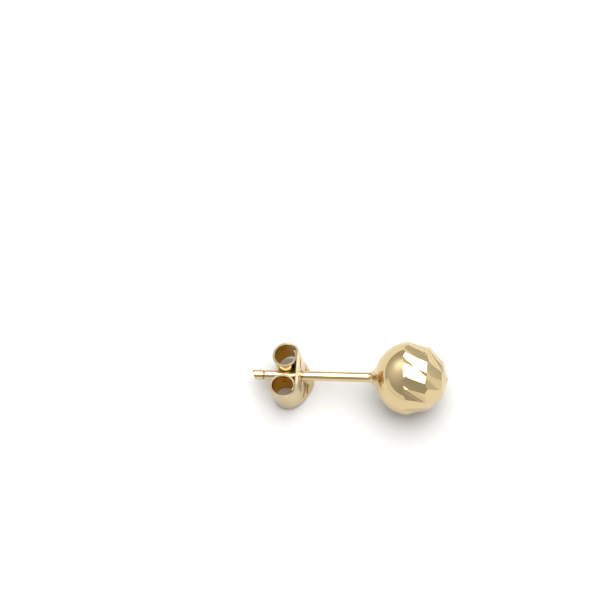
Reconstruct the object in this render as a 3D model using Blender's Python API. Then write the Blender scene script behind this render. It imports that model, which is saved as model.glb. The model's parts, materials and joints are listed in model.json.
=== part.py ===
"""Ball stud earring with a butterfly clutch, lying unworn on a flat surface."""
import math

import bmesh
import bpy
import numpy as np
from mathutils import Matrix, Vector

# All dimensions below are millimetres, and the meshes are scaled to metres at the end.
MM = 0.001

# Ball: smooth behind, three rows of slanted hollow cuts in front
BALL_RADIUS = 3.0
BALL_SEGMENTS = 60
BALL_RINGS = 30
CUT_RADIUS = 2.4
CUT_SLANT_DEG = 40.0
CUT_REACH = 2.0
CUT_ARC_DEG = 40.0
CUT_ARC_STEPS = 14
# Each row: number of cuts, angle of its middle from the front pole, depth, turn of its first cut
CUT_ROWS = (
    (18, 77.0, 0.27, 0.0),
    (13, 46.5, 0.25, 8.0),
    (8, 15.5, 0.175, 20.0),
)
# Hand indexing leaves every cut a little off its place
CUT_WANDER_DEG = 1.3
CUT_SLANT_WANDER_DEG = 3.0
CUT_DEPTH_WANDER = 0.02

# Post and solder neck, measured back from the ball's rear pole
POST_RADIUS = 0.4
POST_LENGTH = 10.0
POST_SEGMENTS = 32
TIP_SLANT_DEG = 17.0
NICK_FROM_TIP = 1.0
NICK_WIDTH = 0.24
NICK_DEPTH = 0.05
NECK_LENGTH = 0.5
NECK_MID_RADIUS = 0.47
NECK_BALL_RADIUS = 0.66
NECK_FOOT_RADIUS = 0.92
NECK_SINK = 0.5

# Clutch: one folded strip of sheet
SHEET = 0.18
PLATE_BEHIND_BALL = 6.03
PLATE_HALF_WIDTH = 2.0
LOOP_HALF_WIDTH = 1.6
PLATE_STRAIGHT = 1.1
PLATE_TAPER_END = 2.6
HOLE_CLEARANCE = 0.08
GRIP_CLEARANCE = 0.05
FLARE = 0.8
FLARE_END = 2.2
FLARE_POWER = 1.6
RIB_OFFSET = 0.42
RIB_HALF_WIDTH = 0.2
RIB_DEPTH = 0.05
RIB_START = 0.6
RIB_END = 1.6
# Each loop: side of the post, gap from the post's axis, half size along the post, half size across
LOOPS = (
    (-1, 0.27, 1.18, 1.05),
    (1, 0.1, 1.14, 1.09),
)
LOOP_TURN_DEG = 398.0
LAP_STEP = 0.26
LOOP_ROWS = 27
PLATE_ROWS = 18
ACROSS = (0.0, 0.055, 0.105, 0.16, 0.21, 0.26, 0.31, 0.42, 0.6, 0.8, 1.0)

GOLD = (0.93, 0.74, 0.44, 1.0)


def smooth(x):
    """Ease from 0 to 1 as x goes from 0 to 1."""
    x = min(max(x, 0.0), 1.0)
    return x * x * (3.0 - 2.0 * x)


def gold_material(name, roughness):
    """Polished yellow gold."""
    material = bpy.data.materials.new(name)
    material.use_nodes = True
    shader = material.node_tree.nodes["Principled BSDF"]
    shader.inputs["Base Color"].default_value = GOLD
    shader.inputs["Metallic"].default_value = 1.0
    shader.inputs["Roughness"].default_value = roughness
    material.diffuse_color = GOLD
    return material


def mesh_object(name, points, faces):
    """Object from points and faces, triangulated, with its faces turned outwards."""
    mesh = bpy.data.meshes.new(name)
    mesh.from_pydata([tuple(p) for p in points], [], faces)
    bm = bmesh.new()
    bm.from_mesh(mesh)
    bmesh.ops.triangulate(bm, faces=bm.faces)
    bmesh.ops.recalc_face_normals(bm, faces=bm.faces)
    bm.to_mesh(mesh)
    bm.free()
    obj = bpy.data.objects.new(name, mesh)
    bpy.context.scene.collection.objects.link(obj)
    return obj


def lathe(name, profile, segments):
    """Turned solid about the X axis; the profile is (x, radius) pairs from end to end."""
    points = []
    rings = []
    for x, radius in profile:
        if radius == 0.0:
            rings.append([len(points)] * segments)
            points.append((x, 0.0, 0.0))
            continue
        rings.append(list(range(len(points), len(points) + segments)))
        for k in range(segments):
            angle = 2.0 * math.pi * k / segments
            points.append((x, radius * math.cos(angle), radius * math.sin(angle)))
    faces = []
    for lower, upper in zip(rings, rings[1:]):
        for k in range(segments):
            m = (k + 1) % segments
            corners = [lower[k], lower[m], upper[m], upper[k]]
            faces.append(list(dict.fromkeys(corners)))
    for ring in (rings[0], rings[-1]):
        if ring[0] != ring[1]:
            faces.append(ring)
    return mesh_object(name, points, faces)


def boolean(target, others, operation):
    """Apply one exact Boolean of the other objects to the target, and remove them."""
    group = bpy.data.collections.new("operands")
    bpy.context.scene.collection.children.link(group)
    for other in others:
        other.hide_render = True
        other.display_type = "WIRE"
        bpy.context.scene.collection.objects.unlink(other)
        group.objects.link(other)
    modifier = target.modifiers.new("cut", "BOOLEAN")
    modifier.operation = operation
    modifier.solver = "EXACT"
    modifier.operand_type = "COLLECTION"
    modifier.collection = group
    depsgraph = bpy.context.evaluated_depsgraph_get()
    result = bpy.data.meshes.new_from_object(target.evaluated_get(depsgraph))
    target.modifiers.clear()
    target.data = result
    for other in others:
        bpy.data.objects.remove(other, do_unlink=True)
    bpy.data.collections.remove(group)


def cut_tool(name, polar, turn, slant, depth):
    """Bar with a round underside that hollows one slanted facet into the ball."""
    outward = Vector((math.cos(polar), math.sin(polar) * math.cos(turn), math.sin(polar) * math.sin(turn)))
    forward = Vector((math.sin(polar), -math.cos(polar) * math.cos(turn), -math.cos(polar) * math.sin(turn)))
    around = Vector((0.0, -math.sin(turn), math.cos(turn)))
    along = forward * math.cos(slant) + around * math.sin(slant)
    across = along.cross(outward)
    centre = outward * (BALL_RADIUS - depth + CUT_RADIUS)
    points = []
    for end in (-CUT_REACH, CUT_REACH):
        for k in range(CUT_ARC_STEPS + 1):
            angle = math.radians(CUT_ARC_DEG) * (2.0 * k / CUT_ARC_STEPS - 1.0)
            spoke = across * math.sin(angle) - outward * math.cos(angle)
            points.append(centre + spoke * CUT_RADIUS + along * end)
    count = CUT_ARC_STEPS + 1
    faces = [list(range(count)), list(range(count, 2 * count))]
    for k in range(count):
        m = (k + 1) % count
        faces.append([k, m, m + count, k + count])
    return mesh_object(name, points, faces)


def make_ball():
    """Sphere with the three rows of facets cut into its front."""
    profile = []
    for ring in range(BALL_RINGS + 1):
        angle = math.pi * ring / BALL_RINGS
        radius = 0.0 if ring in (0, BALL_RINGS) else BALL_RADIUS * math.sin(angle)
        profile.append((BALL_RADIUS * math.cos(angle), radius))
    ball = lathe("ball_stud", profile, BALL_SEGMENTS)
    for row, (count, middle_deg, depth, first_deg) in enumerate(CUT_ROWS):
        tools = []
        for k in range(count):
            sway = math.sin(2.4 * k + 1.7 * row)
            swing = math.sin(3.9 * k + 0.6 * row)
            turn = math.radians(first_deg + 360.0 * k / count + CUT_WANDER_DEG * sway)
            slant = math.radians(CUT_SLANT_DEG + CUT_SLANT_WANDER_DEG * swing)
            cut = depth + CUT_DEPTH_WANDER * math.sin(5.1 * k + row)
            tools.append(cut_tool(f"tool_{row}_{k}", math.radians(middle_deg), turn, slant, cut))
        boolean(ball, tools, "DIFFERENCE")
    return ball


def make_post():
    """Post with its nick, slanted tip and the solder neck that runs into the ball."""
    back = -BALL_RADIUS
    tip = back - POST_LENGTH
    nick = tip + NICK_FROM_TIP
    foot = -math.sqrt(BALL_RADIUS**2 - NECK_FOOT_RADIUS**2)
    profile = [
        (tip, POST_RADIUS),
        (nick - NICK_WIDTH / 2, POST_RADIUS),
        (nick, POST_RADIUS - NICK_DEPTH),
        (nick + NICK_WIDTH / 2, POST_RADIUS),
        (back - NECK_LENGTH, POST_RADIUS),
        (back - NECK_LENGTH / 2, NECK_MID_RADIUS),
        (back, NECK_BALL_RADIUS),
        (foot, NECK_FOOT_RADIUS),
        (foot + NECK_SINK, NECK_FOOT_RADIUS),
    ]
    post = lathe("post", profile, POST_SEGMENTS)
    for vertex in post.data.vertices:
        if abs(vertex.co.x - tip) < SHEET / 2:
            vertex.co.x -= math.tan(math.radians(TIP_SLANT_DEG)) * (vertex.co.y - POST_RADIUS)
    return post


def loop_path(side, gap, half_along, half_across):
    """Centre line of one loop from the plate inwards, as (along post, across post) points."""
    half_along -= SHEET / 2
    half_across -= SHEET / 2
    middle = side * (gap + SHEET / 2 + half_across)
    path = []
    for k in range(LOOP_ROWS + 1):
        angle_deg = LOOP_TURN_DEG * k / LOOP_ROWS
        angle = math.radians(angle_deg)
        tuck = LAP_STEP * smooth(angle_deg / 180.0 - 1.0)
        along = -half_along + (half_along - tuck) * math.cos(angle)
        across = middle + side * (half_across - tuck) * math.sin(angle)
        path.append((along, across))
    return path


def strip_path():
    """Centre line of the whole strip, and the distance of each point from the plate's middle."""
    lower = loop_path(*LOOPS[0])
    upper = loop_path(*LOOPS[1])
    start = lower[0][1]
    stop = upper[0][1]
    plate = []
    for k in range(1, PLATE_ROWS):
        plate.append((0.0, start + (stop - start) * k / PLATE_ROWS))
    path = np.array(lower[::-1] + plate + upper)
    steps = np.hypot(*np.diff(path, axis=0).T)
    travelled = np.concatenate(([0.0], np.cumsum(steps)))
    first_plate = len(lower) - 1
    zero = travelled[first_plate] - start
    return path, travelled - zero


def make_clutch():
    """Folded strip: oval plate with ribs and a flared lower edge, and two grooved scroll loops."""
    path, distance = strip_path()
    tangent = np.gradient(path, axis=0)
    tangent /= np.linalg.norm(tangent, axis=1)[:, None]
    normal = np.column_stack((tangent[:, 1], -tangent[:, 0]))
    across = np.array([-a for a in ACROSS[:0:-1]] + list(ACROSS))
    grip = POST_RADIUS + GRIP_CLEARANCE
    skins = ([], [])
    for (along, side_way), turn, far in zip(path, normal, distance):
        away = abs(far)
        taper = smooth((PLATE_TAPER_END - away) / (PLATE_TAPER_END - PLATE_STRAIGHT))
        half = LOOP_HALF_WIDTH + (PLATE_HALF_WIDTH - LOOP_HALF_WIDTH) * taper
        flare = FLARE * math.cos(0.5 * math.pi * min(1.0, away / FLARE_END)) ** 2
        rib_place = (away - RIB_START) / (RIB_END - RIB_START)
        rib = RIB_DEPTH * smooth(4.0 * rib_place) * smooth(4.0 * (1.0 - rib_place))
        for part in across:
            up = part * half
            shift = flare * max(0.0, -part) ** FLARE_POWER
            shift -= rib * smooth(1.0 - abs(abs(up) - RIB_OFFSET) / RIB_HALF_WIDTH)
            reach = math.sqrt(max(0.0, grip**2 - up**2))
            face = abs(side_way) - SHEET / 2
            push = max(0.0, reach - face) if along < -2.0 * SHEET else 0.0
            push = math.copysign(push, side_way)
            for skin, half_sheet in zip(skins, (SHEET / 2, -SHEET / 2)):
                skin.append((along + shift + turn[0] * half_sheet, side_way + push + turn[1] * half_sheet, up))
    rows = len(path)
    columns = len(across)
    size = rows * columns

    def at(skin, row, column):
        return skin * size + row * columns + column

    faces = []
    for row in range(rows - 1):
        for column in range(columns - 1):
            for skin in (0, 1):
                faces.append([at(skin, row, column), at(skin, row + 1, column),
                              at(skin, row + 1, column + 1), at(skin, row, column + 1)])
        for column in (0, columns - 1):
            faces.append([at(0, row, column), at(0, row + 1, column),
                          at(1, row + 1, column), at(1, row, column)])
    for row in (0, rows - 1):
        for column in range(columns - 1):
            faces.append([at(0, row, column), at(0, row, column + 1),
                          at(1, row, column + 1), at(1, row, column)])
    clutch = mesh_object("butterfly_clutch", skins[0] + skins[1], faces)
    hole = POST_RADIUS + HOLE_CLEARANCE
    drill = lathe("drill", [(-2.0 * SHEET, hole), (2.0 * SHEET, hole)], POST_SEGMENTS)
    boolean(clutch, [drill], "DIFFERENCE")
    clutch.data.transform(Matrix.Translation((-BALL_RADIUS - PLATE_BEHIND_BALL, 0.0, 0.0)))
    return clutch


def coordinates(obj):
    """Vertex positions of an object as an array."""
    return np.array([vertex.co[:] for vertex in obj.data.vertices])


def rest_pitch(stud, clutch):
    """Angle at which the ball and the clutch both touch a level floor."""
    low, high = 0.0, math.radians(30.0)
    stud_points = coordinates(stud)
    clutch_points = coordinates(clutch)
    for _ in range(60):
        pitch = (low + high) / 2
        upward = np.array([math.sin(pitch), 0.0, math.cos(pitch)])
        if (stud_points @ upward).min() > (clutch_points @ upward).min():
            high = pitch
        else:
            low = pitch
    return (low + high) / 2


def finish(obj, material, pose):
    """Place the mesh, give it its material and shade its round faces smooth."""
    obj.data.transform(pose)
    obj.data.materials.clear()
    obj.data.materials.append(material)
    for polygon in obj.data.polygons:
        polygon.material_index = 0
        polygon.use_smooth = True
    obj.data.set_sharp_from_angle(angle=math.radians(20.0))
    obj.data.update()


def build():
    """Make both pieces and set them down on the floor."""
    for obj in list(bpy.data.objects):
        bpy.data.objects.remove(obj, do_unlink=True)
    stud = make_ball()
    boolean(stud, [make_post()], "UNION")
    clutch = make_clutch()
    turn = Matrix.Rotation(-rest_pitch(stud, clutch), 4, "Y")
    points = np.vstack((coordinates(stud), coordinates(clutch))) @ np.array(turn.to_3x3()).T
    low = points.min(axis=0)
    high = points.max(axis=0)
    centre = Vector((-(low[0] + high[0]) / 2, -(low[1] + high[1]) / 2, -low[2]))
    pose = Matrix.Scale(MM, 4) @ Matrix.Translation(centre) @ turn
    finish(stud, gold_material("gold_stud", 0.12), pose)
    finish(clutch, gold_material("gold_clutch", 0.18), pose)


build()
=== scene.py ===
"""Visual model of a gold ball stud earring with a butterfly clutch."""

import json
import math

import bpy
import numpy as np
from bpy.props import FloatProperty, FloatVectorProperty, IntProperty, PointerProperty
from mathutils import Matrix, Vector


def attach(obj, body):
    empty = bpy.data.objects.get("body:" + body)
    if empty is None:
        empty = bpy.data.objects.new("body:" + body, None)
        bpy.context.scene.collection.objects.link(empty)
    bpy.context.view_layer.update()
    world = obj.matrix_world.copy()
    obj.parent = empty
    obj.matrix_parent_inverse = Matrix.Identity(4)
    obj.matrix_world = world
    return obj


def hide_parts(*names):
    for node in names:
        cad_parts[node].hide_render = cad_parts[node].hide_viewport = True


bl_info = {
    "name": "Ball stud earring",
    "version": (1, 0, 0),
    "blender": (4, 5, 0),
    "location": "View3D > Sidebar > Earring",
    "description": "Builds a diamond-cut gold ball stud with its butterfly clutch",
    "category": "Add Mesh",
}

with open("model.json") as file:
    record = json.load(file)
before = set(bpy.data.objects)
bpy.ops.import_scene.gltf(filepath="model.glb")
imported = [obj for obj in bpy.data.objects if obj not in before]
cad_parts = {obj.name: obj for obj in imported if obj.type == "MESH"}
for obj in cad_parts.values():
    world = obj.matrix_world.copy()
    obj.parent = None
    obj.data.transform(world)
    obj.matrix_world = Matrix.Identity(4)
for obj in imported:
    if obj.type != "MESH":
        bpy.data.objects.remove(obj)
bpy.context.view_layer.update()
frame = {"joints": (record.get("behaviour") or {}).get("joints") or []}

# Meshes are modelled in millimetres about the ball's centre and scaled to metres when placed
MM = 0.001
POST_DIRECTION = Vector(frame["joints"][0]["axis"])
BALL_CENTRE = (0.0049826, -0.0000033, 0.0029935)
# Each row of facets: number of cuts, angle of its middle from the front pole, depth, turn of the first
CUT_ROWS = ((18, 77.0, 0.27, 0.0), (13, 46.5, 0.25, 8.0), (8, 15.5, 0.175, 20.0))
# Waves of the cuts' unevenness, from cut to cut and from row to row
SPACING_WAVE = (2.4, 1.7)
SLANT_WAVE = (3.9, 0.6)
DEPTH_WAVE = (5.1, 1.0)
# Rings of faces on the round back of the ball, and on its front, where the cuts take most away
BACK_RINGS = 44
FRONT_RINGS = 8
# Angle from the front pole at which the two kinds of ring meet
FRONT_EDGE_DEG = 60.0
# Rounding of the post's end, and distance of the support rings beside the nick and the neck
POST_EDGE = 0.03
# How far the neck's curve keeps to the post's direction and to the ball's
NECK_REACH = (0.32, 0.34)
# Rings of faces round the neck
NECK_RINGS = 16
SHARED_CUT_SOCKETS = (
    ("Ball radius", "Float"), ("Cut radius", "Float"), ("Cut length", "Float"), ("Slant", "Float"),
    ("Wander", "Float"), ("Slant wander", "Float"), ("Depth wander", "Float"))
# The cuts lie this far apart on the UV map, and each has this many strips to a millimetre
CUT_SPACING = 7.0
STRIPS_PER_MM = 5.6
# Swept angle of the rounded underside of a cutting bar, and its length in ball radii
CUT_ARC = math.radians(80.0)
BAR_LENGTH = 1.4
# What a face's direction counts for beside its distance when it is matched to a cut
FACING_WEIGHT = 0.02
# Edges that turn more than this stay sharp
STUD_SHARP_DEG = 24.0
CLUTCH_SHARP_DEG = 60.0
# Each loop: side of the post, gap from its axis, half size along the post, half size across
LOOPS = ((-1, 0.27, 1.18, 1.05), (1, 0.1, 1.14, 1.09))
# Angle that each loop rolls through, and how far it laps inside itself
LOOP_TURN_DEG = 398.0
LAP_STEP = 0.26
# Points across each face of the strip
STRIP_COLUMNS = 104
# The plate keeps its full width this far from its middle, and has narrowed to the loops' by the second
PLATE_STRAIGHT = 1.1
PLATE_TAPER_END = 2.6
# The bend of the lower edge ends this far from the middle, and grows by this power towards the edge
FLARE_END = 2.2
FLARE_POWER = 1.6
# Extra thickness of the plate on its loops' side, as a share of half the sheet, how far from the
# middle it ends, and the length over which it fades
PLATE_SWELL = 0.8
SWELL_END = 2.0
SWELL_FADE = 0.6
# The strip's two ends are drawn in, and its sheared rim starts, by these shares of the edge rounding
END_INSET = 0.8
RIM_START = 0.4
# Painted amber shade of the rolled side, which stands for light bounced inside the roll together with
# some tarnish: it starts this far from the middle, and comes in over the second length
AMBER_START = 2.2
AMBER_FADE = 1.0
# Each set of pressed ribs: start and end as (across the post, up the plate), mirrored to four places
RIB_SETS = (
    ((0.3, 0.7), (0.8, 1.0)), ((0.3, 1.0), (0.85, 1.3)), ((0.35, 1.3), (0.9, 1.6)),
    ((0.95, 1.1), (1.4, 1.2)))
# Most that the painted shade in the ribs and the nick hides of the gold under it
GROOVE_SHADE_COVER = 0.85
# Share of that painted shade in the nick
NICK_SHADE = 0.5
# Painted amber reflection on the gloss of the rolled side, standing for light bounced inside the roll
PAINTED_ROLL_REFLECTION_TINT = (1.0, 0.75, 0.4)
# Roughness that the sheared rim adds, and share of it that a facet loses
RIM_ROUGHNESS = 0.45
FACET_GLOSS = 0.5
# Noise of the finishes: its scale for each axis, per metre, and the turn of the pattern
CLOUDS = ((420.0, 420.0, 420.0), (0.0, 0.0, 0.0))
WEAR = ((1900.0, 1900.0, 1900.0), (0.3, 0.2, 0.1))
SCRATCHES = (
    ((900.0, 16000.0, 16000.0), (0.0, 0.2, 0.5)), ((16000.0, 1200.0, 16000.0), (0.4, 0.0, 0.9)))
DENTS = ((1500.0, 1500.0, 2600.0), (0.2, 0.1, 0.4))
# Height of the dents inside the rolled loops, in metres
DENT_HEIGHT = 0.00009
# The cutter's fine lines: scale along and across a cut, per millimetre, and height beside the strips
CUTTER_LINES = ((0.2, 9.0, 1.0), (0.0, 0.0, 0.0))
LINE_SHARE = 0.25
# Bump of the strips and lines, in metres for a height of 1
STRIP_HEIGHT = 2.2e-5
# The level softbox: height in metres, then its reach left, right, front and back as shares of that
SOFTBOX_HEIGHT = 0.6
SOFTBOX_REACH = (0.5, 0.8, 0.24, 1.28)
# The white card in front: sine of its top's elevation, softness of that edge, its brightness, and
# the directions' Y between which it fades in
CARD_TOP = 0.2
CARD_SOFTNESS = 0.02
CARD_WHITE = (1.08, 1.07, 1.05)
CARD_FADE = (-0.05, -0.2)
# Brighter places of the room: direction, brightness added, narrowness
ROOM_LIGHTS = (
    ((0.95, 0.25, 0.15), 0.30, 3.0),
    ((0.30, 0.90, 0.30), 0.22, 6.0),
    ((-0.56, 0.44, 0.66), 1.1, 26.0),
    ((-0.72, 0.20, 0.62), 0.50, 6.0),
)
# Half width of the floor, in metres
FLOOR_HALF = 3.0
# The picture's side and the ball's centre in it, in pixels
PICTURE_SIZE = 600
BALL_PIXEL = (411.3, 378.5)
SENSOR = 36.0


class StudSettings(bpy.types.PropertyGroup):
    """Sizes of the ball, its cuts and the post."""

    ball_radius: FloatProperty(
        name="Ball radius", description="Radius of the uncut ball",
        default=0.003, min=0.001, unit="LENGTH", precision=5)
    post_radius: FloatProperty(
        name="Post radius", description="Radius of the round post",
        default=0.0004, min=0.0002, unit="LENGTH", precision=5)
    post_length: FloatProperty(
        name="Post length", description="From the back of the ball to the post's tip",
        default=0.010, min=0.004, unit="LENGTH", precision=5)
    neck_length: FloatProperty(
        name="Neck length", description="Length of the solder neck behind the ball",
        default=0.00055, min=0.0, unit="LENGTH", precision=5)
    neck_foot: FloatProperty(
        name="Neck foot radius", description="Radius at which the solder meets the ball",
        default=0.00092, min=0.0004, unit="LENGTH", precision=5)
    nick_from_tip: FloatProperty(
        name="Nick from tip", description="Place of the turned nick on the post",
        default=0.001, min=0.0003, unit="LENGTH", precision=5)
    nick_width: FloatProperty(
        name="Nick width", description="Width of the nick",
        default=0.0002, min=0.0, unit="LENGTH", precision=5)
    nick_depth: FloatProperty(
        name="Nick depth", description="Depth of the nick",
        default=0.00008, min=0.0, unit="LENGTH", precision=6)
    tip_slant: FloatProperty(
        name="Tip slant", description="Angle of the nipped end face",
        default=math.radians(17.0), subtype="ANGLE")
    cut_radius: FloatProperty(
        name="Cut radius", description="Hollow radius of every facet",
        default=0.0024, min=0.001, unit="LENGTH", precision=5)
    cut_slant: FloatProperty(
        name="Cut slant", description="How far the facets lean round the ball",
        default=math.radians(40.0), subtype="ANGLE")
    cut_wander: FloatProperty(
        name="Cut wander", description="Unevenness of the spacing of the cuts",
        default=math.radians(1.3), subtype="ANGLE")
    slant_wander: FloatProperty(
        name="Slant wander", description="Unevenness of the lean of the cuts",
        default=math.radians(3.0), subtype="ANGLE")
    depth_wander: FloatProperty(
        name="Depth wander", description="Unevenness of the depth of the cuts",
        default=0.00002, min=0.0, unit="LENGTH", precision=6)
    segments: IntProperty(
        name="Segments", description="Faces round the ball", default=128, min=32, max=512)


class ClutchSettings(bpy.types.PropertyGroup):
    """Sizes of the folded friction back."""

    sheet: FloatProperty(
        name="Sheet", description="Thickness of the sheet",
        default=0.00018, min=0.00005, unit="LENGTH", precision=6)
    edge_round: FloatProperty(
        name="Edge rounding", description="Radius of the sheet's tumbled edges",
        default=0.00004, min=0.0, unit="LENGTH", precision=6)
    behind_ball: FloatProperty(
        name="Behind the ball", description="From the back of the ball to the plate",
        default=0.00603, min=0.0, unit="LENGTH", precision=5)
    plate_half_width: FloatProperty(
        name="Plate half width", description="Half width of the oval plate",
        default=0.002, min=0.001, unit="LENGTH", precision=5)
    loop_half_width: FloatProperty(
        name="Loop half width", description="Half width of the strip at the loops",
        default=0.0016, min=0.001, unit="LENGTH", precision=5)
    flare: FloatProperty(
        name="Flare", description="How far the plate's lower edge bends to the ear",
        default=0.0008, min=0.0, unit="LENGTH", precision=5)
    hole_clearance: FloatProperty(
        name="Hole clearance", description="Play of the post in the hole, on the radius",
        default=0.00008, min=0.0, unit="LENGTH", precision=6)
    grip_clearance: FloatProperty(
        name="Grip clearance", description="Play of the post between the loops",
        default=0.00005, min=0.0, unit="LENGTH", precision=6)
    rib_depth: FloatProperty(
        name="Rib depth", description="Depth of the ribs pressed into the plate",
        default=0.0001, min=0.0, unit="LENGTH", precision=6)
    rib_half_width: FloatProperty(
        name="Rib half width", description="Half width of a pressed rib",
        default=0.00015, min=0.00002, unit="LENGTH", precision=6)
    loop_rows: IntProperty(
        name="Loop rows", description="Faces round each loop", default=90, min=24, max=400)


class LookSettings(bpy.types.PropertyGroup):
    """Colours of the metal and of the stage, and the camera's place."""

    gold: FloatVectorProperty(
        name="Gold", description="Colour of the polished gold",
        subtype="COLOR", size=3, default=(0.67, 0.53, 0.30), min=0.0, max=1.0)
    deep_gold: FloatVectorProperty(
        name="Deep gold", description="Slightly redder gold of the colour variation",
        subtype="COLOR", size=3, default=(0.65, 0.50, 0.265), min=0.0, max=1.0)
    sheared_gold: FloatVectorProperty(
        name="Sheared gold", description="Duller gold of the sheet's cut edges",
        subtype="COLOR", size=3, default=(0.46, 0.40, 0.27), min=0.0, max=1.0)
    # Painted shade and bounced amber light inside the rolled loops, together with some tarnish
    roll_shade_and_tarnish: FloatVectorProperty(
        name="Rolled gold", description="Amber tarnish inside the rolled loops",
        subtype="COLOR", size=3, default=(0.64, 0.37, 0.07), min=0.0, max=1.0)
    # Painted shade in the pressed ribs and the nick
    groove_shade: FloatVectorProperty(
        name="Groove film", description="Dark film left in the pressed ribs and the nick",
        subtype="COLOR", size=3, default=(0.16, 0.09, 0.03), min=0.0, max=1.0)
    floor: FloatVectorProperty(
        name="Floor", description="Colour of the pale floor",
        subtype="COLOR", size=3, default=(0.60, 0.60, 0.60), min=0.0, max=1.0)
    room: FloatVectorProperty(
        name="Room", description="Colour of the dim room that the gold mirrors",
        subtype="COLOR", size=3, default=(0.48, 0.475, 0.455), min=0.0, max=1.0)
    softbox: FloatProperty(
        name="Softbox", description="Brightness of the softbox's face", default=4.2, min=0.0)
    azimuth: FloatProperty(
        name="Camera azimuth", description="Turn of the camera round the object",
        default=math.radians(3.6), subtype="ANGLE")
    elevation: FloatProperty(
        name="Camera elevation", description="Height of the camera above the floor, as an angle",
        default=math.radians(71.0), subtype="ANGLE")
    scale: FloatProperty(
        name="Pixels per millimetre", description="Scale of the picture at the ball",
        default=12.37, min=1.0)
    lens: FloatProperty(
        name="Lens", description="Focal length of the camera in millimetres",
        default=150.0, min=20.0)


def smooth(x):
    """Ease from 0 to 1 as x goes from 0 to 1."""
    x = min(max(x, 0.0), 1.0)
    return x * x * (3.0 - 2.0 * x)


def placing():
    """Matrix from the stud's own millimetre frame to the row frame in metres."""
    pitch = math.atan2(POST_DIRECTION.z, POST_DIRECTION.x)
    turn = Matrix.Rotation(-pitch, 4, "Y")
    return Matrix.Translation(BALL_CENTRE) @ turn @ Matrix.Scale(MM, 4)


def remove_piece(name):
    """Drop an earlier build of a piece, so an operator can be run again."""
    old = bpy.data.objects.get(name)
    if old is not None:
        bpy.data.objects.remove(old, do_unlink=True)


def mesh_object(name, points, faces):
    """Linked object made from points and faces."""
    mesh = bpy.data.meshes.new(name)
    mesh.from_pydata([tuple(p) for p in points], [], faces)
    mesh.update()
    piece = bpy.data.objects.new(name, mesh)
    bpy.context.scene.collection.objects.link(piece)
    return piece


def apply_modifiers(piece):
    """Turn the evaluated piece into a plain mesh."""
    depsgraph = bpy.context.evaluated_depsgraph_get()
    evaluated = piece.evaluated_get(depsgraph)
    result = bpy.data.meshes.new_from_object(
        evaluated, preserve_all_data_layers=True, depsgraph=depsgraph)
    piece.modifiers.clear()
    piece.data = result
    if not result.polygons:
        raise RuntimeError(f"{piece.name} came out empty")


def add_node(tree, kind, inputs=None, **settings):
    """New node with its settings, and its inputs linked or set by name or index."""
    new = tree.nodes.new(kind)
    for key, value in settings.items():
        setattr(new, key, value)
    for key, value in (inputs or {}).items():
        if isinstance(value, bpy.types.NodeSocket):
            tree.links.new(value, new.inputs[key])
        else:
            new.inputs[key].default_value = value
    return new


def maths(tree, operation, first, second=0.0, third=0.0):
    """Output of one maths node."""
    inputs = {0: first, 1: second, 2: third}
    return add_node(tree, "ShaderNodeMath", inputs, operation=operation).outputs[0]


def combine(tree, x=0.0, y=0.0, z=0.0):
    """Output of a Combine XYZ node."""
    return add_node(tree, "ShaderNodeCombineXYZ", {0: x, 1: y, 2: z}).outputs[0]


def node_group(name, sockets):
    """Geometry tree with named inputs, its input node and its output node."""
    old = bpy.data.node_groups.get(name)
    if old is not None:
        bpy.data.node_groups.remove(old)
    tree = bpy.data.node_groups.new(name, "GeometryNodeTree")
    tree.is_modifier = True
    tree.interface.new_socket("Geometry", in_out="OUTPUT", socket_type="NodeSocketGeometry")
    tree.interface.new_socket("Geometry", in_out="INPUT", socket_type="NodeSocketGeometry")
    for label, kind in sockets:
        tree.interface.new_socket(label, in_out="INPUT", socket_type="NodeSocket" + kind)
    return tree, tree.nodes.new("NodeGroupInput").outputs, tree.nodes.new("NodeGroupOutput").inputs


def finish_group(tree, geometry, material, target):
    """Realize, give the material and hand the geometry out."""
    real = add_node(tree, "GeometryNodeRealizeInstances", {"Geometry": geometry})
    painted = add_node(
        tree, "GeometryNodeSetMaterial", {"Geometry": real.outputs[0], "Material": material})
    tree.links.new(painted.outputs[0], target["Geometry"])


def add_tree(piece, tree, values):
    """Nodes modifier on the piece with its inputs set by identifier."""
    modifier = piece.modifiers.new(tree.name, "NODES")
    modifier.node_group = tree
    for item in tree.interface.items_tree:
        if item.in_out == "INPUT" and item.name in values:
            modifier[item.identifier] = values[item.name]
    return modifier


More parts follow.
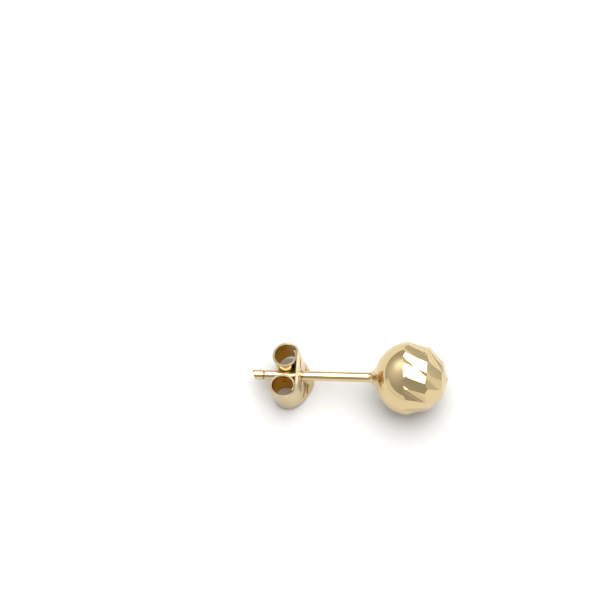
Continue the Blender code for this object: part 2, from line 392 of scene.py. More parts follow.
def cutter_tree():
    """One row of slanted cutting bars with round undersides, spread round the ball's X axis."""
    sockets = (
        ("Cuts", "Int"), ("Row", "Float"), ("Middle angle", "Float"), ("Depth", "Float"),
        ("First turn", "Float")) + SHARED_CUT_SOCKETS
    tree, given, target = node_group("Cutter row", sockets)
    index = add_node(tree, "GeometryNodeInputIndex").outputs[0]

    def ripple(wave):
        phase = maths(tree, "MULTIPLY", given["Row"], wave[1])
        return maths(tree, "SINE", maths(tree, "MULTIPLY_ADD", index, wave[0], phase))

    step = maths(tree, "DIVIDE", 2.0 * math.pi, given["Cuts"])
    even = maths(tree, "MULTIPLY_ADD", index, step, given["First turn"])
    turn = maths(tree, "MULTIPLY_ADD", given["Wander"], ripple(SPACING_WAVE), even)
    slant = maths(tree, "MULTIPLY_ADD", given["Slant wander"], ripple(SLANT_WAVE), given["Slant"])
    depth = maths(tree, "MULTIPLY_ADD", given["Depth wander"], ripple(DEPTH_WAVE), given["Depth"])
    reach = maths(tree, "ADD", given["Ball radius"], given["Cut radius"])
    lift = maths(tree, "SUBTRACT", reach, depth)
    arc = add_node(
        tree, "GeometryNodeCurveArc",
        {"Resolution": 45, "Radius": given["Cut radius"], "Start Angle": -math.pi / 2 - CUT_ARC / 2,
         "Sweep Angle": CUT_ARC})
    outline = add_node(
        tree, "GeometryNodeSetSplineCyclic", {"Geometry": arc.outputs["Curve"], "Cyclic": True})
    face = add_node(tree, "GeometryNodeFillCurve", {"Curve": outline.outputs[0]}, mode="NGONS")
    drawn = add_node(
        tree, "GeometryNodeExtrudeMesh",
        {"Mesh": face.outputs[0], "Offset": (0.0, 0.0, 1.0), "Offset Scale": given["Cut length"],
         "Individual": False})
    under = add_node(tree, "GeometryNodeFlipFaces", {"Mesh": face.outputs[0]})
    both = add_node(tree, "GeometryNodeJoinGeometry", {"Geometry": drawn.outputs["Mesh"]})
    tree.links.new(under.outputs[0], both.inputs[0])
    bar = add_node(
        tree, "GeometryNodeMergeByDistance", {"Geometry": both.outputs[0], "Distance": 1e-5})
    half = maths(tree, "MULTIPLY", given["Cut length"], -0.5)
    centred = add_node(
        tree, "GeometryNodeTransform",
        {"Geometry": bar.outputs[0], "Translation": combine(tree, z=half)})
    lying = add_node(
        tree, "GeometryNodeTransform",
        {"Geometry": centred.outputs[0], "Rotation": (math.pi / 2, 0.0, math.pi / 2)})
    places = add_node(
        tree, "GeometryNodeMeshLine", {"Count": given["Cuts"], "Offset": (0.0, 0.0, 0.0)})
    rollers = add_node(
        tree, "GeometryNodeInstanceOnPoints",
        {"Points": places.outputs[0], "Instance": lying.outputs[0]})
    lifted = add_node(
        tree, "GeometryNodeTranslateInstances",
        {"Instances": rollers.outputs[0], "Translation": combine(tree, z=lift)})
    leaning = maths(tree, "MULTIPLY", slant, -1.0)
    tipping = maths(tree, "SUBTRACT", math.pi / 2, given["Middle angle"])
    spinning = maths(tree, "SUBTRACT", turn, math.pi / 2)
    current = lifted.outputs[0]
    for rotation in (
            combine(tree, z=leaning), combine(tree, y=tipping), combine(tree, x=spinning)):
        current = add_node(
            tree, "GeometryNodeRotateInstances",
            {"Instances": current, "Rotation": rotation, "Local Space": False}).outputs[0]
    tree.links.new(current, target["Geometry"])
    return tree


def facet_tree():
    """All rows of hollow facets cut into the ball at once."""
    tree, given, target = node_group("Facets", SHARED_CUT_SOCKETS + (("Material", "Material"),))
    row_tree = cutter_tree()
    cut = add_node(
        tree, "GeometryNodeMeshBoolean",
        {"Mesh 1": given["Geometry"]}, operation="DIFFERENCE", solver="MANIFOLD")
    for row, (count, middle_deg, depth, first_deg) in enumerate(CUT_ROWS):
        bars = tree.nodes.new("GeometryNodeGroup")
        bars.node_tree = row_tree
        placed = {
            "Cuts": count, "Row": float(row), "Middle angle": math.radians(middle_deg),
            "Depth": depth, "First turn": math.radians(first_deg)}
        for name, value in placed.items():
            bars.inputs[name].default_value = value
        for name, _ in SHARED_CUT_SOCKETS:
            tree.links.new(given[name], bars.inputs[name])
        tree.links.new(bars.outputs["Geometry"], cut.inputs["Mesh 2"])
    finish_group(tree, cut.outputs["Mesh"], given["Material"], target)
    return tree


def rib_tree():
    """One pressed rib, repeated in the four quarters of the plate."""
    sockets = (
        ("Start across", "Float"), ("Start up", "Float"), ("End across", "Float"),
        ("End up", "Float"), ("Depth", "Float"), ("Half width", "Float"), ("Material", "Material"))
    tree, given, target = node_group("Pressed ribs", sockets)

    def quarter(name):
        field = add_node(tree, "GeometryNodeInputNamedAttribute", {"Name": name}, data_type="FLOAT")
        return maths(tree, "ABSOLUTE", field.outputs[0])

    def vector(operation, first, second, output=0):
        made = add_node(tree, "ShaderNodeVectorMath", {0: first, 1: second}, operation=operation)
        return made.outputs[output]

    start = combine(tree, given["Start across"], given["Start up"])
    end = combine(tree, given["End across"], given["End up"])
    here = vector("SUBTRACT", combine(tree, quarter("far"), quarter("up")), start)
    line = vector("SUBTRACT", end, start)
    share = maths(
        tree, "DIVIDE", vector("DOT_PRODUCT", here, line, 1), vector("DOT_PRODUCT", line, line, 1))
    share = add_node(tree, "ShaderNodeClamp", {"Value": share}).outputs[0]
    scaled = add_node(tree, "ShaderNodeVectorMath", {0: line, "Scale": share}, operation="SCALE")
    away = vector("DISTANCE", here, scaled.outputs[0], 1)
    groove = add_node(
        tree, "ShaderNodeMapRange",
        {"Value": away, "From Min": given["Half width"], "From Max": 0.0},
        interpolation_type="SMOOTHERSTEP").outputs[0]
    sunk = maths(tree, "MULTIPLY", maths(tree, "MULTIPLY", groove, given["Depth"]), -1.0)
    moved = add_node(
        tree, "GeometryNodeSetPosition",
        {"Geometry": given["Geometry"], "Offset": combine(tree, x=sunk)})
    # The rib's groove is also kept as 'pressed', which sets the painted shade in the ribs
    earlier = add_node(
        tree, "GeometryNodeInputNamedAttribute", {"Name": "pressed"}, data_type="FLOAT")
    noted = add_node(
        tree, "GeometryNodeStoreNamedAttribute",
        {"Geometry": moved.outputs[0], "Name": "pressed",
         "Value": maths(tree, "MAXIMUM", earlier.outputs[0], groove)},
        data_type="FLOAT", domain="POINT")
    finish_group(tree, noted.outputs[0], given["Material"], target)
    return tree


def drill_tree():
    """Round hole along the X axis, through the plate."""
    sockets = (("Radius", "Float"), ("Length", "Float"), ("Material", "Material"))
    tree, given, target = node_group("Post hole", sockets)
    drill = add_node(
        tree, "GeometryNodeMeshCylinder",
        {"Vertices": 96, "Radius": given["Radius"], "Depth": given["Length"]}, fill_type="NGON")
    lying = add_node(
        tree, "GeometryNodeTransform",
        {"Geometry": drill.outputs["Mesh"], "Rotation": (0.0, math.pi / 2, 0.0)})
    cut = add_node(
        tree, "GeometryNodeMeshBoolean",
        {"Mesh 1": given["Geometry"], "Mesh 2": lying.outputs[0]},
        operation="DIFFERENCE", solver="EXACT")
    finish_group(tree, cut.outputs["Mesh"], given["Material"], target)
    return tree


def stretched_noise(tree, vector, pattern, detail=3.0):
    """Noise drawn out and turned by a Mapping node."""
    stretch, turn = pattern
    mapped = add_node(
        tree, "ShaderNodeMapping", {"Vector": vector, "Rotation": turn, "Scale": stretch})
    noise = add_node(
        tree, "ShaderNodeTexNoise",
        {"Vector": mapped.outputs[0], "Scale": 1.0, "Detail": detail, "Roughness": 0.6})
    return noise.outputs[0]


def cutter_strips(tree, lie):
    """Height of narrow strips along each cut, every one tilted its own way."""
    along, across, _ = add_node(tree, "ShaderNodeSeparateXYZ", {0: lie}).outputs
    place = maths(tree, "MULTIPLY", across, STRIPS_PER_MM)
    strip = maths(tree, "FLOOR", place)
    cut = maths(tree, "FLOOR", maths(tree, "MULTIPLY_ADD", along, 1.0 / CUT_SPACING, 0.5))
    seed = add_node(
        tree, "ShaderNodeTexWhiteNoise", {"Vector": combine(tree, strip, cut)},
        noise_dimensions="2D")
    slope = maths(tree, "SUBTRACT", seed.outputs["Value"], 0.5)
    part = maths(tree, "SUBTRACT", maths(tree, "FRACT", place), 0.5)
    return maths(tree, "MULTIPLY", part, slope)


def mask(tree, name):
    """Value of a named attribute of the piece."""
    return add_node(tree, "ShaderNodeAttribute", attribute_name=name).outputs["Fac"]


def mix_colours(tree, amount, under, over):
    """A colour with a second one laid over it by an amount."""
    mixed = add_node(
        tree, "ShaderNodeMix", {0: amount, 6: under, 7: (*over, 1.0)}, data_type="RGBA")
    return mixed.outputs[2]


def shaded_in_grooves(tree, look, name, colour):
    """The colour with painted shade laid over it where the named attribute is high."""
    return mix_colours(
        tree, maths(tree, "MULTIPLY", mask(tree, name), GROOVE_SHADE_COVER), colour, look.groove_shade)


def bumped(tree, height, distance, normal=None):
    """Normal of a surface raised by a height, over an earlier normal."""
    inputs = {"Height": height, "Strength": 1.0, "Distance": distance}
    if normal is not None:
        inputs["Normal"] = normal
    return add_node(tree, "ShaderNodeBump", inputs).outputs[0]


def polished_gold(name, look, rough_low, rough_high, scratch_height):
    """New gold material, with its place on the piece, mottled colour, uneven gloss and scratches."""
    material = bpy.data.materials.get(name)
    if material is not None:
        bpy.data.materials.remove(material)
    material = bpy.data.materials.new(name)
    material.use_nodes = True
    tree = material.node_tree
    tree.nodes["Principled BSDF"].inputs["Metallic"].default_value = 1.0
    place = add_node(tree, "ShaderNodeTexCoord").outputs["Object"]
    clouds = stretched_noise(tree, place, CLOUDS)
    tint = mix_colours(tree, clouds, (*look.gold, 1.0), look.deep_gold)
    wear = stretched_noise(tree, place, WEAR, 5.0)
    gloss = add_node(
        tree, "ShaderNodeMapRange",
        {"Value": wear, "From Min": 0.3, "From Max": 0.75, "To Min": rough_low,
         "To Max": rough_high})
    first, second = (stretched_noise(tree, place, pattern) for pattern in SCRATCHES)
    scratched = bumped(tree, maths(tree, "ADD", first, second), scratch_height)
    return material, place, tint, gloss.outputs[0], scratched


def ball_gold(look):
    """Polish of the stud, with the cutter's lines on its facets and painted shade in its nick."""
    material, _, tint, worn, scratched = polished_gold(
        "gold_ball_polish", look, rough_low=0.05, rough_high=0.13, scratch_height=1.2e-7)
    tree = material.node_tree
    shader = tree.nodes["Principled BSDF"].inputs
    tree.links.new(shaded_in_grooves(tree, look, "nick", tint), shader["Base Color"])
    facet = mask(tree, "facet")
    lie = add_node(tree, "ShaderNodeUVMap", uv_map="cut_line").outputs[0]
    lines = stretched_noise(tree, lie, CUTTER_LINES, 4.0)
    lines = maths(tree, "MULTIPLY_ADD", lines, LINE_SHARE, cutter_strips(tree, lie))
    lines = maths(tree, "MULTIPLY", lines, facet)
    tree.links.new(bumped(tree, lines, STRIP_HEIGHT, scratched), shader["Normal"])
    sharp = maths(tree, "MULTIPLY_ADD", facet, -FACET_GLOSS, 1.0)
    tree.links.new(maths(tree, "MULTIPLY", worn, sharp), shader["Roughness"])
    return material


def sheet_gold(look):
    """Polish of the clutch, with a sheared rim, dented loops whose insides carry painted amber shade
    and some tarnish, and painted shade in its ribs.
    """
    material, place, tint, worn, scratched = polished_gold(
        "gold_sheet_polish", look, rough_low=0.12, rough_high=0.30, scratch_height=5e-7)
    tree = material.node_tree
    shader = tree.nodes["Principled BSDF"].inputs
    rim = mask(tree, "rim")
    rolled = mask(tree, "rolled")
    # Painted amber reflection tints the gloss on the rolled side
    tree.links.new(
        mix_colours(tree, rolled, (1.0, 1.0, 1.0, 1.0), PAINTED_ROLL_REFLECTION_TINT), shader["Specular Tint"])
    dents = maths(tree, "MULTIPLY", stretched_noise(tree, place, DENTS), rolled)
    tree.links.new(bumped(tree, dents, DENT_HEIGHT, scratched), shader["Normal"])
    # Painted amber shade, with some tarnish, on the inside of the rolled loops
    amber = mix_colours(tree, rolled, tint, look.roll_shade_and_tarnish)
    edged = mix_colours(tree, rim, amber, look.sheared_gold)
    # Painted shade laid over the pressed ribs
    tree.links.new(shaded_in_grooves(tree, look, "pressed", edged), shader["Base Color"])
    tree.links.new(maths(tree, "MULTIPLY_ADD", rim, RIM_ROUGHNESS, worn), shader["Roughness"])
    return material


def stud_profile(stud):
    """Outline of post, neck and uncut ball as (along, radius) pairs from tip to front pole."""
    ball = stud.ball_radius / MM
    post = stud.post_radius / MM
    tip = -ball - stud.post_length / MM
    nick = tip + stud.nick_from_tip / MM
    half = stud.nick_width / MM / 2
    depth = stud.nick_depth / MM
    edge = POST_EDGE
    profile = [(tip, 0.0), (tip, post - edge)]
    for k in range(1, 5):
        angle = math.pi / 2 * k / 4
        profile.append((tip + edge * (1 - math.cos(angle)), post - edge * (1 - math.sin(angle))))
    profile += [(tip + post, post), (nick - half - edge, post)]
    for k in range(-6, 7):
        share = k / 6
        profile.append((nick + half * share, post - depth * (1 - smooth(abs(share)))))
    foot = stud.neck_foot / MM
    start = Vector((-ball - stud.neck_length / MM, post))
    profile += [(nick + half + edge, post), (start.x - edge, post)]
    end = Vector((-math.sqrt(ball**2 - foot**2), foot))
    slope = Vector((foot, -end.x)) / ball
    first = start + Vector((NECK_REACH[0], 0.0))
    second = end - slope * NECK_REACH[1]
    for k in range(NECK_RINGS + 1):
        t = k / NECK_RINGS
        point = start * (1 - t)**3 + first * 3 * t * (1 - t)**2
        point += second * 3 * t**2 * (1 - t) + end * t**3
        profile.append((point.x, point.y))
    begin = math.atan2(foot, end.x)
    front = math.radians(FRONT_EDGE_DEG)
    angles = [begin + (front - begin) * k / BACK_RINGS for k in range(1, BACK_RINGS + 1)]
    angles += [front * (1 - k / FRONT_RINGS) for k in range(1, FRONT_RINGS)]
    for angle in angles:
        profile.append((ball * math.cos(angle), ball * math.sin(angle)))
    profile.append((ball, 0.0))
    return profile


def lathe(name, profile, segments):
    """Turned solid about the X axis."""
    points = []
    rings = []
    for along, radius in profile:
        if radius == 0.0:
            rings.append([len(points)] * segments)
            points.append((along, 0.0, 0.0))
            continue
        rings.append(list(range(len(points), len(points) + segments)))
        for k in range(segments):
            angle = 2 * math.pi * k / segments
            points.append((along, radius * math.cos(angle), radius * math.sin(angle)))
    faces = []
    for lower, upper in zip(rings, rings[1:]):
        for k in range(segments):
            m = (k + 1) % segments
            corners = [lower[k], lower[m], upper[m], upper[k]]
            faces.append(list(dict.fromkeys(corners)))
    return mesh_object(name, points, faces)


def wave_at(wave, k, row):
    """Unevenness of one cut of a row, from -1 to 1."""
    return math.sin(wave[0] * k + wave[1] * row)


def cut_frames(stud):
    """Centre, direction and cross direction of every cut, as the facet tree places them."""
    ball = stud.ball_radius / MM
    radius = stud.cut_radius / MM
    centres, alongs, acrosses = [], [], []
    for row, (count, middle_deg, depth, first_deg) in enumerate(CUT_ROWS):
        polar = math.radians(middle_deg)
        for k in range(count):
            turn = math.radians(first_deg) + 2 * math.pi * k / count
            turn += stud.cut_wander * wave_at(SPACING_WAVE, k, row)
            slant = stud.cut_slant + stud.slant_wander * wave_at(SLANT_WAVE, k, row)
            cut = depth + stud.depth_wander / MM * wave_at(DEPTH_WAVE, k, row)
            c, s = math.cos(turn), math.sin(turn)
            outward = Vector((math.cos(polar), math.sin(polar) * c, math.sin(polar) * s))
            forward = Vector((math.sin(polar), -math.cos(polar) * c, -math.cos(polar) * s))
            around = Vector((0.0, -s, c))
            along = forward * math.cos(slant) + around * math.sin(slant)
            centres.append(outward * (ball - cut + radius))
            alongs.append(along)
            acrosses.append(along.cross(outward))
    return np.array(centres), np.array(alongs), np.array(acrosses)


def cut_residuals(points, centres, alongs, radius):
    """Distance of each point from each hollow cut's surface, and the direction to its axis."""
    offset = centres[None] - points[:, None]
    offset -= (offset * alongs[None]).sum(-1, keepdims=True) * alongs[None]
    length = np.linalg.norm(offset, axis=-1)
    return np.abs(length - radius), offset / length[..., None]


def dress_facets(mesh, stud):
    """Exact normals on the ball and its cuts, with the lie of each cut as a UV map."""
    ball = stud.ball_radius / MM
    radius = stud.cut_radius / MM
    foot = -math.sqrt(ball**2 - (stud.neck_foot / MM)**2)
    centres, alongs, acrosses = cut_frames(stud)
    count = len(mesh.polygons)
    middle = np.empty(count * 3)
    mesh.polygons.foreach_get("center", middle)
    middle = middle.reshape(-1, 3)
    facing = np.empty(count * 3)
    mesh.polygons.foreach_get("normal", facing)
    facing = facing.reshape(-1, 3)
    residual, inward = cut_residuals(middle, centres, alongs, radius)
    score = residual + FACING_WEIGHT * (1.0 - (inward * facing[:, None]).sum(-1))
    best = score.argmin(1)
    reach = np.linalg.norm(middle, axis=1)
    radial = middle / reach[:, None]
    round_score = np.abs(reach - ball) + FACING_WEIGHT * (1.0 - (radial * facing).sum(1))
    on_cut = score.min(1) < round_score
    on_ball = ~on_cut & (middle[:, 0] > foot)
    on_cut &= middle[:, 0] > foot
    totals = np.empty(count, np.int32)
    mesh.polygons.foreach_get("loop_total", totals)
    owner = np.repeat(np.arange(count), totals)
    vertex = np.empty(len(mesh.loops), np.int32)
    mesh.loops.foreach_get("vertex_index", vertex)
    places = np.empty(len(mesh.vertices) * 3)
    mesh.vertices.foreach_get("co", places)
    corner = places.reshape(-1, 3)[vertex]
    normals = np.empty(len(mesh.loops) * 3)
    mesh.corner_normals.foreach_get("vector", normals)
    normals = normals.reshape(-1, 3)
    rounded = on_ball[owner]
    normals[rounded] = corner[rounded] / np.linalg.norm(corner[rounded], axis=1)[:, None]
    hollow = on_cut[owner]
    chosen = best[owner][hollow]
    offset = centres[chosen] - corner[hollow]
    offset -= (offset * alongs[chosen]).sum(1, keepdims=True) * alongs[chosen]
    normals[hollow] = offset / np.linalg.norm(offset, axis=1)[:, None]
    lie = np.zeros((len(mesh.loops), 2))
    start = corner[hollow] - centres[chosen]
    lie[hollow, 0] = (start * alongs[chosen]).sum(1) + CUT_SPACING * chosen
    lie[hollow, 1] = (start * acrosses[chosen]).sum(1)
    mesh.uv_layers.new(name="cut_line").data.foreach_set("uv", lie.ravel())
    field = mesh.attributes.new("facet", "FLOAT", "CORNER")
    field.data.foreach_set("value", hollow.astype(np.float32))
    return normals


def note_nick(mesh, middle, half):
    """Attribute that sets the painted shade in the nick, highest along its middle and 0 outside it."""
    places = np.empty(len(mesh.vertices) * 3)
    mesh.vertices.foreach_get("co", places)
    inside = 1.0 - np.abs(places[0::3] - middle) / half
    field = mesh.attributes.new("nick", "FLOAT", "POINT")
    field.data.foreach_set("value", (NICK_SHADE * np.clip(inside, 0.0, 1.0)).astype(np.float32))


def make_ball_stud(stud, look):
    """Ball, neck and post as one solid, cut by three rows of facets."""
    remove_piece("gold_ball_stud")
    ball = stud.ball_radius / MM
    piece = lathe("gold_ball_stud", stud_profile(stud), stud.segments)
    tip = -ball - stud.post_length / MM
    for vertex in piece.data.vertices:
        if vertex.co.x < tip + 2 * POST_EDGE:
            vertex.co.x -= math.tan(stud.tip_slant) * (vertex.co.y - stud.post_radius / MM)
    add_tree(piece, facet_tree(), {
        "Ball radius": ball, "Cut radius": stud.cut_radius / MM, "Cut length": BAR_LENGTH * ball,
        "Slant": stud.cut_slant, "Wander": stud.cut_wander, "Slant wander": stud.slant_wander,
        "Depth wander": stud.depth_wander / MM, "Material": ball_gold(look)})
    apply_modifiers(piece)
    mesh = piece.data
    note_nick(mesh, tip + stud.nick_from_tip / MM, stud.nick_width / MM / 2)
    shade_round(mesh, STUD_SHARP_DEG)
    normals = dress_facets(mesh, stud)
    settle(piece, normals, "stud", "ball_stud")
    return piece


def shade_round(mesh, angle_deg):
    """Smooth shading, with the edges that turn more than an angle kept sharp."""
    mesh.polygons.foreach_set("use_smooth", [True] * len(mesh.polygons))
    mesh.set_sharp_from_angle(angle=math.radians(angle_deg))
    mesh.update()


def settle(piece, normals, body, node):
    """Place the piece in the row frame, set its normals, tie it to its CAD body and hide its CAD node.
    """
    place = placing()
    piece.data.transform(place)
    if normals is not None:
        turn = np.array(place.to_3x3().normalized())
        piece.data.normals_split_custom_set((normals @ turn.T).tolist())
    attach(piece, body)
    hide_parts(node)


def loop_path(side, gap, half_along, half_across, sheet, rows):
    """Centre line of one loop from the plate inwards, as (along post, across post) points."""
    half_along -= sheet / 2
    half_across -= sheet / 2
    middle = side * (gap + sheet / 2 + half_across)
    path = []
    for k in range(rows + 1):
        angle_deg = LOOP_TURN_DEG * k / rows
        angle = math.radians(angle_deg)
        tuck = LAP_STEP * smooth(angle_deg / 180.0 - 1.0)
        along = -half_along + (half_along - tuck) * math.cos(angle)
        across = middle + side * (half_across - tuck) * math.sin(angle)
        path.append((along, across))
    return path


def strip_path(sheet, rows):
    """Centre line of the whole strip, and each point's distance from the plate's middle."""
    lower = loop_path(*LOOPS[0], sheet, rows)
    upper = loop_path(*LOOPS[1], sheet, rows)
    start = lower[0][1]
    stop = upper[0][1]
    plate_rows = 4 * rows // 3
    plate = [(0.0, start + (stop - start) * k / plate_rows) for k in range(1, plate_rows)]
    path = np.array(lower[::-1] + plate + upper)
    travelled = np.concatenate(([0.0], np.cumsum(np.hypot(*np.diff(path, axis=0).T))))
    return path, travelled - (travelled[len(lower) - 1] - start)


def strip_section(sheet, edge):
    """Ring round the strip's section: share of the half width, inset from it, and height."""
    half = sheet / 2
    ring = [(share, edge, half) for share in np.linspace(-1.0, 1.0, STRIP_COLUMNS)]
    corner = [(edge * (1 - math.sin(a)), half - edge * (1 - math.cos(a)))
              for a in (math.pi / 6, math.pi / 3, math.pi / 2)]
    right = [(1.0, inset, height) for inset, height in corner]
    right += [(1.0, inset, -height) for inset, height in reversed(corner)]
    left = [(-1.0, inset, -height) for _, inset, height in right]
    return ring + right + [(-s, i, -h) for s, i, h in ring] + left


def make_clutch(stud, clutch, look):
    """Folded strip with an oval ribbed plate, a flared edge and two grooved scroll loops."""
    remove_piece("gold_butterfly_clutch")
    sheet = clutch.sheet / MM
    edge = clutch.edge_round / MM
    path, distance = strip_path(sheet, clutch.loop_rows)
    tangent = np.gradient(path, axis=0)
    tangent /= np.linalg.norm(tangent, axis=1)[:, None]
    normal = np.column_stack((tangent[:, 1], -tangent[:, 0]))
    section = strip_section(sheet, edge)
    plate_half = clutch.plate_half_width / MM
    loop_half = clutch.loop_half_width / MM
    grip = (stud.post_radius + clutch.grip_clearance) / MM
    drawn_in = edge * END_INSET
    rows = [(path[0] - tangent[0] * edge, normal[0], distance[0], drawn_in)]
    rows += [(p, n, d, 0.0) for p, n, d in zip(path, normal, distance)]
    rows.append((path[-1] + tangent[-1] * edge, normal[-1], distance[-1], drawn_in))
    points, far_values, up_values, rim_values, rolled_values = [], [], [], [], []
    for (along, side_way), turn, far, shrink in rows:
        away = abs(far)
        taper = smooth((PLATE_TAPER_END - away) / (PLATE_TAPER_END - PLATE_STRAIGHT))
        half = loop_half + (plate_half - loop_half) * taper
        bend = clutch.flare / MM * math.cos(math.pi / 2 * min(1.0, away / FLARE_END)) ** 2
        swell = 1.0 + PLATE_SWELL * smooth((SWELL_END - away) / SWELL_FADE)
        for share, inset, height in section:
            sheared = abs(height) < sheet / 2 - edge * RIM_START or shrink > 0.0
            up = share * (half - inset - shrink)
            height *= swell if height < 0.0 else 1.0
            height = math.copysign(max(0.0, abs(height) - shrink), height)
            shift = bend * max(0.0, -up / half) ** FLARE_POWER
            face = abs(side_way) - sheet / 2
            push = 0.0
            if along < -2 * sheet:
                push = max(0.0, math.sqrt(max(0.0, grip**2 - up**2)) - face)
            push = math.copysign(push, side_way)
            points.append((
                along + shift + turn[0] * height, side_way + push + turn[1] * height, up))
            far_values.append(far)
            up_values.append(up)
            rim_values.append(1.0 if sheared else 0.0)
            # Share of the painted amber shade, partly tarnish, inside the rolled loops
            rolled_values.append(smooth((away - AMBER_START) / AMBER_FADE) if height < 0.0 else 0.0)
    size = len(section)
    faces = []
    for row in range(len(rows) - 1):
        for k in range(size):
            m = (k + 1) % size
            a, b = row * size, (row + 1) * size
            faces.append([a + k, b + k, b + m, a + m])
    faces.append(list(range(size)))
    faces.append(list(range(len(points) - 1, len(points) - 1 - size, -1)))
    piece = mesh_object("gold_butterfly_clutch", points, faces)
    for name, values in (("far", far_values), ("up", up_values), ("rim", rim_values),
                         ("rolled", rolled_values)):
        field = piece.data.attributes.new(name, "FLOAT", "POINT")
        field.data.foreach_set("value", np.array(values, np.float32))
    material = sheet_gold(look)
    ribs = rib_tree()
    for (start_across, start_up), (end_across, end_up) in RIB_SETS:
        add_tree(piece, ribs, {
            "Start across": start_across, "Start up": start_up, "End across": end_across,
            "End up": end_up, "Depth": clutch.rib_depth / MM,
            "Half width": clutch.rib_half_width / MM, "Material": material})
    add_tree(piece, drill_tree(), {
        "Radius": (stud.post_radius + clutch.hole_clearance) / MM, "Length": 4 * sheet,
        "Material": material})
    apply_modifiers(piece)
    mesh = piece.data
    shade_round(mesh, CLUTCH_SHARP_DEG)
    mesh.transform(Matrix.Translation((-(stud.ball_radius + clutch.behind_ball) / MM, 0.0, 0.0)))
    settle(piece, None, "clutch", "butterfly_clutch")
    return piece


def view_axes(look):
    """Unit vectors to the camera, to the picture's right and up the picture."""
    a, e = look.azimuth, look.elevation
    back = Vector((math.sin(a) * math.cos(e), -math.cos(a) * math.cos(e), math.sin(e)))
    right = Vector((math.cos(a), math.sin(a), 0.0))
    return back, right, back.cross(right)


def make_camera(look):
    """Camera at the photograph's angle, with the ball at its place in the picture."""
    remove_piece("camera")
    data = bpy.data.cameras.new("camera")
    data.lens = look.lens
    data.sensor_width = SENSOR
    distance = PICTURE_SIZE * look.lens / SENSOR / look.scale * MM
    back, right, up = view_axes(look)
    off_right = (BALL_PIXEL[0] - PICTURE_SIZE / 2) / look.scale * MM
    off_down = (BALL_PIXEL[1] - PICTURE_SIZE / 2) / look.scale * MM
    aim = Vector(BALL_CENTRE) - right * off_right + up * off_down
    camera = bpy.data.objects.new("camera", data)
    bpy.context.scene.collection.objects.link(camera)
    camera.matrix_world = Matrix.Translation(aim + back * distance) @ Matrix(
        (right, up, back)).transposed().to_4x4()
    data.clip_start = distance * 0.05
    data.clip_end = 20.0
    bpy.context.scene.camera = camera


def overhead_softbox(look):
    """Large level softbox over the earring, reaching further back and to the right."""
    remove_piece("softbox")
    left, right, front, rear = SOFTBOX_REACH
    data = bpy.data.lights.new("softbox", "AREA")
    data.shape = "RECTANGLE"
    data.size = (left + right) * SOFTBOX_HEIGHT
    data.size_y = (front + rear) * SOFTBOX_HEIGHT
    data.energy = look.softbox * math.pi * data.size * data.size_y
    light = bpy.data.objects.new("softbox", data)
    bpy.context.scene.collection.objects.link(light)
    light.location = (
        (right - left) / 2 * SOFTBOX_HEIGHT, (rear - front) / 2 * SOFTBOX_HEIGHT, SOFTBOX_HEIGHT)
    light.visible_camera = False


def make_room(look):
    """Dim room that the gold mirrors, with soft brighter places and a white card in front."""
    world = bpy.data.worlds.new("room")
    bpy.context.scene.world = world
    world.use_nodes = True
    tree = world.node_tree
    direction = add_node(tree, "ShaderNodeTexCoord").outputs["Generated"]
    total = None
    for place, amount, narrowness in ROOM_LIGHTS:
        towards = tuple(Vector(place).normalized())
        facing = add_node(
            tree, "ShaderNodeVectorMath", {0: direction, 1: towards}, operation="DOT_PRODUCT")
        facing = maths(tree, "MAXIMUM", facing.outputs["Value"], 0.0)
        lobe = maths(tree, "MULTIPLY", maths(tree, "POWER", facing, narrowness), amount)
        total = lobe if total is None else maths(tree, "ADD", total, lobe)
    lit = add_node(tree, "ShaderNodeVectorMath", {0: look.room, 1: combine(tree, total, total, total)})
    split = add_node(tree, "ShaderNodeSeparateXYZ", {0: direction})
    low = add_node(
        tree, "ShaderNodeMapRange", {
            "Value": split.outputs["Z"], "From Min": CARD_TOP + CARD_SOFTNESS,
            "From Max": CARD_TOP - CARD_SOFTNESS})
    ahead = add_node(
        tree, "ShaderNodeMapRange", {
            "Value": split.outputs["Y"], "From Min": CARD_FADE[0], "From Max": CARD_FADE[1]})
    card = maths(tree, "MULTIPLY", low.outputs[0], ahead.outputs[0])
    seen = mix_colours(tree, card, lit.outputs[0], CARD_WHITE)
    tree.links.new(seen, tree.nodes["Background"].inputs["Color"])


def make_stage(look):
    """Pale floor, the room that the gold mirrors and a large softbox overhead."""
    remove_piece("floor")
    corners = ((-1.0, -1.0), (1.0, -1.0), (1.0, 1.0), (-1.0, 1.0))
    floor = mesh_object(
        "floor", [(FLOOR_HALF * x, FLOOR_HALF * y, 0.0) for x, y in corners], [[0, 1, 2, 3]])
    material = bpy.data.materials.new("floor_white")
    material.use_nodes = True
    shader = material.node_tree.nodes["Principled BSDF"]
    shader.inputs["Base Color"].default_value = (*look.floor, 1.0)
    shader.inputs["Roughness"].default_value = 1.0
    shader.inputs["Specular IOR Level"].default_value = 0.0
    floor.data.materials.append(material)
    make_room(look)
    overhead_softbox(look)
    bpy.context.scene.view_settings.view_transform = "Standard"


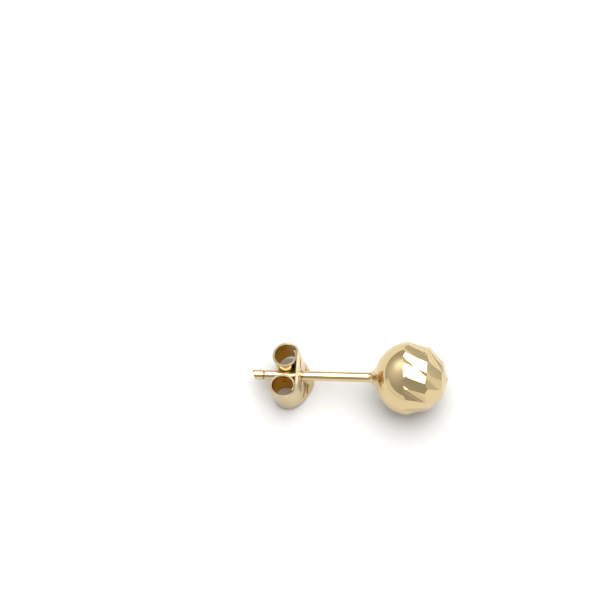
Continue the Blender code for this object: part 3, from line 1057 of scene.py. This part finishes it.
class EARRING_OT_ball_stud(bpy.types.Operator):
    """Build the diamond-cut ball with its neck and post"""

    bl_idname = "earring.ball_stud"
    bl_label = "Ball stud"

    def execute(self, context):
        make_ball_stud(context.scene.earring_stud, context.scene.earring_look)
        return {"FINISHED"}


class EARRING_OT_clutch(bpy.types.Operator):
    """Build the folded butterfly clutch"""

    bl_idname = "earring.clutch"
    bl_label = "Butterfly clutch"

    def execute(self, context):
        scene = context.scene
        make_clutch(scene.earring_stud, scene.earring_clutch, scene.earring_look)
        return {"FINISHED"}


class EARRING_OT_stage(bpy.types.Operator):
    """Set up the floor, the light and the camera"""

    bl_idname = "earring.stage"
    bl_label = "Stage and camera"

    def execute(self, context):
        make_stage(context.scene.earring_look)
        make_camera(context.scene.earring_look)
        return {"FINISHED"}


class EARRING_PT_panel(bpy.types.Panel):
    """Sidebar panel with the build steps and their sizes"""

    bl_idname = "EARRING_PT_panel"
    bl_label = "Earring"
    bl_space_type = "VIEW_3D"
    bl_region_type = "UI"
    bl_category = "Earring"

    def draw(self, context):
        groups = (
            ("earring_stud", EARRING_OT_ball_stud), ("earring_clutch", EARRING_OT_clutch),
            ("earring_look", EARRING_OT_stage))
        for group, operator in groups:
            settings = getattr(context.scene, group)
            column = self.layout.column(align=True)
            for name in settings.__annotations__:
                column.prop(settings, name)
            column.operator(operator.bl_idname)


CLASSES = (
    StudSettings, ClutchSettings, LookSettings, EARRING_OT_ball_stud, EARRING_OT_clutch,
    EARRING_OT_stage, EARRING_PT_panel)


def register():
    """Register the classes and hang their settings on the scene."""
    for cls in CLASSES:
        bpy.utils.register_class(cls)
    bpy.types.Scene.earring_stud = PointerProperty(type=StudSettings)
    bpy.types.Scene.earring_clutch = PointerProperty(type=ClutchSettings)
    bpy.types.Scene.earring_look = PointerProperty(type=LookSettings)


def unregister():
    """Take the settings and classes away again."""
    del bpy.types.Scene.earring_look
    del bpy.types.Scene.earring_clutch
    del bpy.types.Scene.earring_stud
    for cls in reversed(CLASSES):
        bpy.utils.unregister_class(cls)


def main():
    """Build everything in order."""
    register()
    bpy.ops.earring.ball_stud()
    bpy.ops.earring.clutch()
    bpy.ops.earring.stage()


if __name__ == "__main__":
    main()
